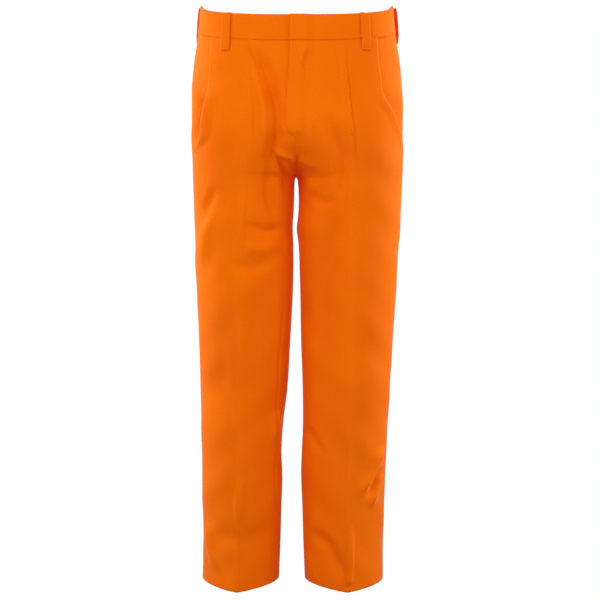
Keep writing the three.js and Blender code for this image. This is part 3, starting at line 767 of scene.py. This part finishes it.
for half in (LEFT, RIGHT):
    name = side_name(half)
    piece = sheet(f"waistband_lining_{name}", 120, 8, lining(half), LINING_CLOTH,
                  thick=LINING, stands_for=[f"waistband_lining_{name}"], flip=half == LEFT)


def care_label(a, b):
    x = mix(16.0, -16.0, a)
    level = mix(SEAM_LEVEL + 2, TOP_LEVEL - 6, b)
    back = skin(LEFT, 2 + 0 * a, level, 4.2)
    return np.column_stack([x, back[:, 1] - 0.5 * np.sin(a * math.pi), back[:, 2]])


piece = sheet("care_label", 16, 16, care_label, LABEL, thick=0.3, stands_for=["care_label"])

# ---- Hems, fly facing and shield ----


def hem(half):
    def place(a, b):
        level = mix(0.8, 30.0, b)
        return skin(half, 2 * a, level, 1.25)
    return place


for half in (LEFT, RIGHT):
    name = side_name(half)
    piece = sheet(f"hem_{name}", 160, 8, hem(half), TWILL, thick=0.8,
                  stands_for=[f"hem_{name}"], flip=half == LEFT)


def fly_liner(first, last, depth):
    def place(a, b):
        return centre_front(mix(first, last, a), mix(FLY_FOOT + 12.0, SEAM_LEVEL - 1.0, b), depth)
    return place


piece = sheet("fly_facing", 12, 40, fly_liner(8.5, 34.0, 2.6), TWILL, thick=LINING,
              stands_for=["fly_facing"], flip=True)
piece = sheet("fly_shield", 24, 40, fly_liner(-24.0, 36.0, 8.5), TWILL, thick=1.2,
              stands_for=["fly_shield"], flip=True)

# ---- Side pockets ----

BAG_INNER = 0.3
BAG_FOOT = 705
POCKET_GAPE = {LEFT: 5.0, RIGHT: 14.0}


def pocket_facing(half):
    def place(a, b):
        level = mix(MOUTH_FOOT + 2.0, SEAM_LEVEL + 1.0, b)
        mouth = mouth_share(half, level)
        s = mix(np.minimum(mouth, 0.97) - 0.1, 1.0, a)
        gape = 1.0 + POCKET_GAPE[half] * smooth((level - MOUTH_FOOT - 35) / 30) * smooth((915 - level) / 30)
        return skin(half, s, level, gape * smooth((1 - s) / (1.02 - mouth) * 2.1 - 0.7) + 0.1)
    return place


def bag_front(half):
    def place(a, b):
        level = mix(float(BAG_FOOT), SEAM_LEVEL - 1.0, b)
        s = mix(BAG_INNER, np.minimum(mouth_share(half, level), 0.96) - 0.06, a)
        return skin(half, s, level, 4.4 + 3.0 * smooth((s - 0.72) / 0.1))
    return place


def bag_back(half):
    def place(a, b):
        level = mix(float(BAG_FOOT), SEAM_LEVEL - 1.0, b)
        s = mix(BAG_INNER, 0.985, a)
        inner, outer = smooth((s - BAG_INNER) / 0.09), smooth((0.985 - s) / 0.09)
        return skin(half, s, level, mix(9.0, 17.0, np.minimum(np.minimum(inner, outer), smooth(b / 0.08))))
    return place


for half in (LEFT, RIGHT):
    name = side_name(half)
    flip = half == LEFT
    piece = sheet(f"pocket_facing_{name}", 40, 90, pocket_facing(half), TWILL,
                  stands_for=[f"pocket_facing_{name}"], flip=flip)
    piece = sheet(f"pocket_bag_front_{name}", 30, 60, bag_front(half), LINING_CLOTH,
                  thick=LINING, stands_for=[f"pocket_bag_front_{name}"], flip=flip)
    piece = sheet(f"pocket_bag_back_{name}", 40, 60, bag_back(half), LINING_CLOTH,
                  thick=LINING, stands_for=[f"pocket_bag_back_{name}"], flip=flip)

# ---- Hip pocket, on the wearer's right ----

HIP = {"from": 1.27, "to": 1.73, "foot": 790.0, "top": 925.0}
HIP_MIDDLE = 1.5
HIP_BUTTON_LEVEL = 905.0


def hip_stand(s, level):
    sides = np.minimum(s - HIP["from"], HIP["to"] - s) / 0.1
    foot = (level - HIP["foot"]) / 26
    return mix(0.3, 5.2, smooth(np.minimum(sides, foot))) * (0.75 + 0.25 * smooth((level - 800) / 80))


def hip_share(level):
    return (level - HIP["foot"]) / (HIP["top"] - HIP["foot"])


def hip_pocket(a, b):
    s = mix(HIP["from"], HIP["to"], a)
    chamfer = 12 * smooth((np.abs(a - 0.5) - 0.34) / 0.16)
    level = mix(HIP["foot"] + chamfer, HIP["top"], b)
    return skin(RIGHT, s, level, -hip_stand(s, level) - 1.0)


piece = sheet("hip_pocket", 56, 60, hip_pocket, TWILL, thick=1.1, stands_for=["hip_pocket"])


def button_face(bm):
    """A disc with a raised rim round its sunken middle, lying at the origin and facing +Z."""
    bmesh.ops.create_circle(bm, cap_ends=True, segments=40, radius=7.2)
    disc = bmesh.ops.extrude_face_region(bm, geom=bm.faces[:])
    top = [v for v in disc["geom"] if isinstance(v, bmesh.types.BMVert)]
    bmesh.ops.translate(bm, verts=top, vec=(0, 0, 2.6))
    bmesh.ops.recalc_face_normals(bm, faces=bm.faces)
    upper = [f for f in bm.faces if f.normal.z > 0.9]
    bmesh.ops.inset_region(bm, faces=upper, thickness=1.6, depth=0)
    upper = [f for f in bm.faces if f.normal.z > 0.9 and len(f.verts) > 4]
    bmesh.ops.inset_region(bm, faces=upper, thickness=0.5, depth=-0.9)
    rim = [e for e in bm.edges if len(e.link_faces) == 2 and e.calc_face_angle(0) > 0.5]
    bmesh.ops.bevel(bm, geom=rim, offset=0.4, segments=2, profile=0.5, affect="EDGES", material=-1)


def place_on(bm, spot, outward, upward=Vector((0, 0, 1))):
    """Turns a shape in millimetres that faces +Z to face outward at a spot, its +Y towards upward."""
    facing = Vector(outward).normalized()
    across = upward.cross(facing).normalized()
    turn = Matrix((across, facing.cross(across), facing)).transposed().to_4x4()
    spot = Vector(to_frame(spot))
    bmesh.ops.transform(bm, matrix=Matrix.Translation(spot) @ turn @ Matrix.Scale(MM, 4), verts=bm.verts)


def button():
    bm = bmesh.new()
    button_face(bm)
    level = np.array([HIP_BUTTON_LEVEL])
    spot = hip_pocket(np.array([0.5]), hip_share(level))[0]
    out = normals(RIGHT, np.array([HIP_MIDDLE]), level)[0]
    place_on(bm, spot + out * 0.1, out)
    make_piece("hip_pocket_button", bm, PLASTIC, stands_for=["hip_pocket_button"])


button()

# ---- Belt loops ----

LOOP_WIDTH = 17.5
SIDE_LOOP = 1.08


def front_loop_middle(half):
    return float(u_at(half, 123.0, WAIST_HEIGHT - BAND_HEIGHT - 22.0))


def back_loop_middle(half):
    return 2 - float(u_at(half, 85.0, WAIST_HEIGHT - BAND_HEIGHT))


# Where each loop's middle line is, and how far it stands out on each half that has one
LOOPS = {
    "front": (front_loop_middle, {LEFT: 3.4, RIGHT: 3.4}),
    "side": (lambda half: SIDE_LOOP, {LEFT: 9.5, RIGHT: 6.0}),
    "back": (back_loop_middle, {LEFT: 5.0, RIGHT: 5.0}),
    "centre_back": (lambda half: 2.0, {LEFT: 5.0}),
}


def loop_point(half, middle, width, level, out):
    """A point out from the band, and so far across from the loop's middle line."""
    one = np.full_like(level, middle)
    spot = surface(half, one, level)
    out_way = normals(half, one, np.full_like(level, SEAM_LEVEL + 20))
    out_way[:, 2] = 0
    out_way /= np.linalg.norm(out_way, axis=1)[:, None]
    across = np.cross([0, 0, 1.0], out_way)
    return spot + out_way * out[:, None] + across * width[:, None]


def belt_loop(half, middle, stand):
    def place(a, b):
        level = np.interp(b, [0, 0.04, 0.2, 0.27, 0.78, 0.9, 0.945, 0.97, 1],
                          [984, 980, 985, SEAM_LEVEL - 4, 1034, 1043.2, 1044.4, 1043.4, 1036])
        out = np.interp(b, [0, 0.04, 0.12, 0.27, 0.5, 0.8, 0.9, 0.945, 0.97, 1],
                        [1.0, 1.6, 2.0, stand, stand + 0.9, stand + 0.6, stand - 0.4, 2.6, 1.9, 1.6])
        crown = 0.35 * (1 - (2 * a - 1) ** 2)
        return loop_point(half, middle, (a - 0.5) * LOOP_WIDTH, level, out + crown)
    return place


def strip_length(lay, steps=200):
    path = lay(np.full(steps, 0.5), np.linspace(0, 1, steps))
    return float(np.linalg.norm(np.diff(path, axis=0), axis=1).sum())


loop_layers = []
for place_name, (middle_of, stands) in LOOPS.items():
    for half, stand in stands.items():
        name = f"belt_loop_{place_name}" + ("" if place_name == "centre_back" else f"_{side_name(half)}")
        lay = belt_loop(half, middle_of(half), stand)
        piece = sheet(name, 14, 90, lay, BAND_TWILL, thick=1.2, stands_for=[name], flip=True)
        length = strip_length(lay)
        outward = normals(half, np.array([middle_of(half)]), np.array([SEAM_LEVEL + 20.0]))[0]
        loop_layers.append((lay, outward))

# ---- Zip and clasp ----


def bevelled_copy(node, material, body, width):
    """The frame's own shape with its edges rounded."""
    bm = bmesh.new()
    bm.from_mesh(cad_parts[node].data)
    bmesh.ops.remove_doubles(bm, verts=bm.verts, dist=1e-6)
    bmesh.ops.dissolve_limit(bm, angle_limit=0.02, verts=bm.verts, edges=bm.edges)
    edges = [e for e in bm.edges if len(e.link_faces) == 2 and e.calc_face_angle(0) > 0.4]
    bmesh.ops.bevel(bm, geom=edges, offset=width * MM, segments=2, profile=0.5, affect="EDGES", material=-1,
                    clamp_overlap=True)
    return make_piece(node, bm, material, body, [node], smooth_faces=False)


bevelled_copy("zip_slider", BRASS, "zip_slider", 0.25)
bevelled_copy("zip_pull", BRASS, "zip_pull", 0.2)
bevelled_copy("waist_hook", STEEL, "waist_tab", 0.18)
bevelled_copy("waist_bar", STEEL, "root", 0.18)
for node in ("zip_top_stop_left", "zip_top_stop_right", "zip_bottom_stop"):
    bevelled_copy(node, BRASS, "root", 0.3)


ZIP_LEAN = math.atan2(0.14237, 0.98981)  # back from upright, towards the waist
TOOTH_DEPTH = 0.0024


def zip_axis():
    """The zip's foot on its middle line, the ways up and into the garment, and the zip's length."""
    low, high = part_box("zip_teeth_left")
    up = Vector((0, math.sin(ZIP_LEAN), math.cos(ZIP_LEAN)))
    inward = Vector((0, math.cos(ZIP_LEAN), -math.sin(ZIP_LEAN)))
    foot = Vector((0, low.y, low.z + TOOTH_DEPTH * math.sin(ZIP_LEAN))) + inward * TOOTH_DEPTH / 2
    length = (high.z - low.z - TOOTH_DEPTH * math.sin(ZIP_LEAN)) / up.z
    return foot, up, inward, length


def zip_teeth(side):
    foot, up, inward, length = zip_axis()
    pitch = 0.0032
    bm = bmesh.new()
    across = Vector((side, 0, 0))
    turn = Matrix((across, inward * side, up)).transposed().to_4x4()
    shift = 0.25 if side > 0 else 0.75
    for i in range(int(length / pitch)):
        middle = foot + up * pitch * (i + shift) + across * 0.0012
        scale = Matrix.Diagonal((0.0036, TOOTH_DEPTH, 0.0013, 1))
        bmesh.ops.create_cube(bm, size=1.0, matrix=Matrix.Translation(middle) @ turn @ scale)
    bmesh.ops.bevel(bm, geom=bm.edges[:], offset=0.0003, segments=1, profile=0.5, affect="EDGES", material=-1)
    bmesh.ops.recalc_face_normals(bm, faces=bm.faces)
    name = f"zip_teeth_{side_name(side)}"
    return make_piece(name, bm, BRASS, "root", [name], smooth_faces=False)


def zip_tape(side):
    name = f"zip_tape_{side_name(side)}"
    low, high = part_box(name)
    foot, up = zip_axis()[:2]

    def place(a, b):
        x = side * mix(2.2, 16.8, a)
        height = mix(low.z / MM + WAIST_HEIGHT + 1, high.z / MM + WAIST_HEIGHT - 1, b)
        run = (height - (foot.z / MM + WAIST_HEIGHT)) / up.z
        y = foot.y / MM + up.y * run + 0.15 * np.sin(b * 23) * smooth((a - 0.3) / 0.5)
        return np.column_stack([x, y, height])

    piece = sheet(name, 12, 60, place, TAPE, thick=0.5, stands_for=[name], flip=side == LEFT)


for half in (LEFT, RIGHT):
    zip_teeth(half)
    zip_tape(half)

# ---- Stitching ----

STITCH = 2.5
STITCH_GAP = 0.9
STITCH_BATCH = 30  # stitches made at a time, because a small mesh is quick to add to


def pour_into(bm, batch):
    mesh = bpy.data.meshes.new("batch")
    batch.to_mesh(mesh)
    batch.free()
    bm.from_mesh(mesh)
    bpy.data.meshes.remove(mesh)


def stitches(name, runs, body="root", width=0.55):
    """Thread laid along runs of (points, outward directions), in millimetres."""
    bm, batch = bmesh.new(), bmesh.new()
    for points, outward in runs:
        lengths = np.concatenate([[0], np.cumsum(np.linalg.norm(np.diff(points, axis=0), axis=1))])
        starts = np.arange(0.4, lengths[-1] - STITCH, STITCH + STITCH_GAP)
        for count, start in enumerate(starts):
            ends = [np.array([np.interp(at, lengths, points[:, k]) for k in range(3)])
                    for at in (start, start + STITCH)]
            out = Vector([np.interp(start, lengths, outward[:, k]) for k in range(3)]).normalized()
            way = Vector(ends[1] - ends[0]).normalized()
            side = out.cross(way).normalized()
            turn = Matrix((way, side, out)).transposed().to_4x4()
            middle = Vector(to_frame((ends[0] + ends[1]) / 2)) + out * 0.0001
            scale = Matrix.Diagonal((STITCH / 2 * MM, width / 2 * MM, width / 2 * MM, 1))
            bmesh.ops.create_uvsphere(batch, u_segments=6, v_segments=4, radius=1.0,
                                      matrix=Matrix.Translation(middle) @ turn @ scale)
            if count % STITCH_BATCH == STITCH_BATCH - 1 or count == len(starts) - 1:
                pour_into(bm, batch)
                batch = bmesh.new()
    batch.free()
    return make_piece(name, bm, THREAD, body)


def run_on(half, s, level, out=0.0):
    s, level = np.broadcast_arrays(np.asarray(s, float), np.asarray(level, float))
    return skin(half, s, level, -np.asarray(out, float)), normals(half, s, level)


def mouth_run(half, inset):
    level = np.linspace(MOUTH_FOOT + 22, SEAM_LEVEL - 2, 120)
    s = mouth_share(half, level) - inset
    return run_on(half, s, level, lip(half, s, level))


for half in (LEFT, RIGHT):
    name = side_name(half)
    stitches(f"pocket_mouth_stitching_{name}", [mouth_run(half, 0.014), mouth_run(half, 0.045)])
    around = np.linspace(0.02, 1.98, 500)
    stitches(f"hem_stitching_{name}", [run_on(half, around, 25.0)])
    band = np.linspace(0.24, 2.0, 400)
    stitches(f"waistband_stitching_{name}",
             [run_on(half, band, SEAM_LEVEL + 2.5, 0.95), run_on(half, band, TOP_LEVEL - 4, 0.95)])

hip_edge = [(0.03, 0.97), (0.03, 0.1), (0.12, 0.03), (0.88, 0.03), (0.97, 0.1), (0.97, 0.97)]


def hip_run(inset):
    corners = np.array([(mix(a, 0.5, inset), mix(b, 0.5, inset * 0.8)) for a, b in hip_edge])
    ab = np.concatenate([np.linspace(first, second, 24) for first, second in zip(corners[:-1], corners[1:])])
    points = hip_pocket(ab[:, 0], ab[:, 1])
    out = normals(RIGHT, mix(HIP["from"], HIP["to"], ab[:, 0]), mix(HIP["foot"], HIP["top"], ab[:, 1]))
    return points, out


stitches("hip_pocket_stitching", [hip_run(0.0), hip_run(0.1)])


def bar_tack(start, end, outward, count=9):
    """Short stitches side by side along a line."""
    start, end, outward = (np.asarray(part, float) for part in (start, end, outward))
    side = np.cross(outward, end - start)
    side *= 1.65 / np.linalg.norm(side)
    middles = [mix(start, end, i / (count - 1)) for i in range(count)]
    return [(np.array([middle - side, middle + side]), np.array([outward, outward])) for middle in middles]


FORWARD = (0, -1, 0)


def fly_points(x, level):
    points = centre_front(x, level)
    points[:, 1] -= fly_stand(points[:, 0], level)
    return points


def fly_run():
    """Straight down beside the zip, then round towards the fly's foot."""
    down = np.linspace(SEAM_LEVEL - 2, FLAT_LEVEL, 60)
    turn = np.linspace(0.05, math.pi / 2, 30)
    x = np.concatenate([np.full(60, FLY_WIDTH), FLY_WIDTH + 4 - (FLY_WIDTH + 8) * (1 - np.cos(turn))])
    level = np.concatenate([down, FLAT_LEVEL - FLY_CURVE * np.sin(turn)])
    x[60:] -= 4 * np.cos(turn)
    return fly_points(x, level), np.tile(FORWARD, (len(x), 1)).astype(float)


fly_ends = fly_points(np.array([-6.0, 7.0]), np.array([862.0, 862.0]))
fly_thread = stitches("fly_stitching", [fly_run(), *bar_tack(*fly_ends, FORWARD)], body=None)
bend_with_tab(fly_thread)

loop_tacks = []
for lay, outward in loop_layers:
    for b in (0.1, 0.86):
        ends = lay(np.array([0.2, 0.8]), np.array([b, b]))
        loop_tacks += bar_tack(*ends, outward)
stitches("belt_loop_bar_tacks", loop_tacks)

BAND_TACK_X = 50.0
BAND_TACK_SHARE = 0.27
BAND_TACK_LEVELS = np.array([1006.0, 1022.0])
band_tack_at = u_at(LEFT, BAND_TACK_X, height_of(LEFT, True, BAND_TACK_SHARE, BAND_TACK_LEVELS))
stitches("waistband_bar_tack", bar_tack(*skin(LEFT, band_tack_at, BAND_TACK_LEVELS, -1.0), FORWARD, 12))

HIP_POCKET_WIDTH = 118
HOLE_LENGTH = 18
HOLE_GAP = 1.9  # from the buttonhole's middle line to each of its two rows of thread
hole_half = HOLE_LENGTH / 2 / HIP_POCKET_WIDTH
hole_across = np.array([0.5 - hole_half, 0.5 + hole_half])
hole_out = normals(RIGHT, np.array([HIP_MIDDLE]), np.array([HIP_BUTTON_LEVEL]))[0]
hole_rows = []
for gap in (-HOLE_GAP, HOLE_GAP):
    ends = hip_pocket(hole_across, np.full(2, hip_share(HIP_BUTTON_LEVEL + gap)))
    hole_rows += bar_tack(*ends, hole_out, 22)
stitches("hip_pocket_buttonhole", hole_rows, width=0.45)

# ---- Camera, light and backdrop ----

CAMERA_AT = Vector((0.0075, -2.1, -0.395))
CAMERA_AIM = Vector((0.0075, 0, -0.5442))


def camera():
    data = bpy.data.cameras.new("camera")
    data.lens = 67.1
    data.sensor_width = 36
    eye = bpy.data.objects.new("camera", data)
    eye.location = CAMERA_AT
    eye.rotation_euler = (CAMERA_AIM - CAMERA_AT).to_track_quat("-Z", "Y").to_euler()
    bpy.context.scene.collection.objects.link(eye)
    bpy.context.scene.camera = eye


def soft_light(name, at, aim, size, power):
    data = bpy.data.lights.new(name, "AREA")
    data.shape = "RECTANGLE"
    data.size, data.size_y = size
    data.energy = power
    lamp = bpy.data.objects.new(name, data)
    lamp.location = at
    lamp.rotation_euler = (Vector(aim) - Vector(at)).to_track_quat("-Z", "Y").to_euler()
    lamp.visible_camera = False
    bpy.context.scene.collection.objects.link(lamp)


ROOM_LIGHT = 0.3


def white_glow(tree, shader_kind, out, out_socket):
    """Plain white where it is seen, and a soft fill light on the object."""
    nodes, links = tree.nodes, tree.links
    seen = nodes.new("ShaderNodeLightPath")
    bright = nodes.new("ShaderNodeMapRange")
    bright.inputs["To Min"].default_value = ROOM_LIGHT
    bright.inputs["To Max"].default_value = 1.0
    glow = nodes.new(shader_kind)
    glow.inputs["Color"].default_value = (1, 1, 1, 1)
    links.new(seen.outputs["Is Camera Ray"], bright.inputs["Value"])
    links.new(bright.outputs["Result"], glow.inputs["Strength"])
    links.new(glow.outputs[0], out.inputs[out_socket])


def white_floor():
    material = bpy.data.materials.new("white floor")
    material.use_nodes = True
    tree = material.node_tree
    white_glow(tree, "ShaderNodeEmission", tree.nodes["Material Output"], "Surface")
    bm = bmesh.new()
    low = Matrix.Translation((0, 0, cad_box[0][2] - 0.004))
    bmesh.ops.create_grid(bm, x_segments=1, y_segments=1, size=6.0, matrix=low)
    make_piece("floor", bm, material, body=None)


def white_room():
    world = bpy.data.worlds.new("white room")
    world.use_nodes = True
    tree = world.node_tree
    white_glow(tree, "ShaderNodeBackground", tree.nodes["World Output"], "Surface")
    bpy.context.scene.world = world


camera()
white_room()
white_floor()
soft_light("left rim strip", (-1.15, 0.42, 0.0), (0, 0, -0.2), (0.25, 0.9), 18)
soft_light("right rim strip", (1.15, 0.42, 0.0), (0, 0, -0.2), (0.25, 0.9), 18)
soft_light("left side", (-1.6, -0.8, -0.4), (0, 0, -0.5), (0.6, 2.0), 8)
soft_light("right side", (1.6, -0.8, -0.4), (0, 0, -0.5), (0.6, 2.0), 12)
soft_light("key", (-1.0, -1.9, 0.9), (0, 0, -0.38), (0.9, 0.9), 33)
soft_light("fill", (1.3, -2.2, 0.0), (0, 0, -0.5), (1.0, 1.4), 12)
soft_light("back", (0.3, 2.5, 0.3), (0, 0, -0.5), (1.4, 1.6), 32)
bpy.context.scene.view_settings.view_transform = "Standard"
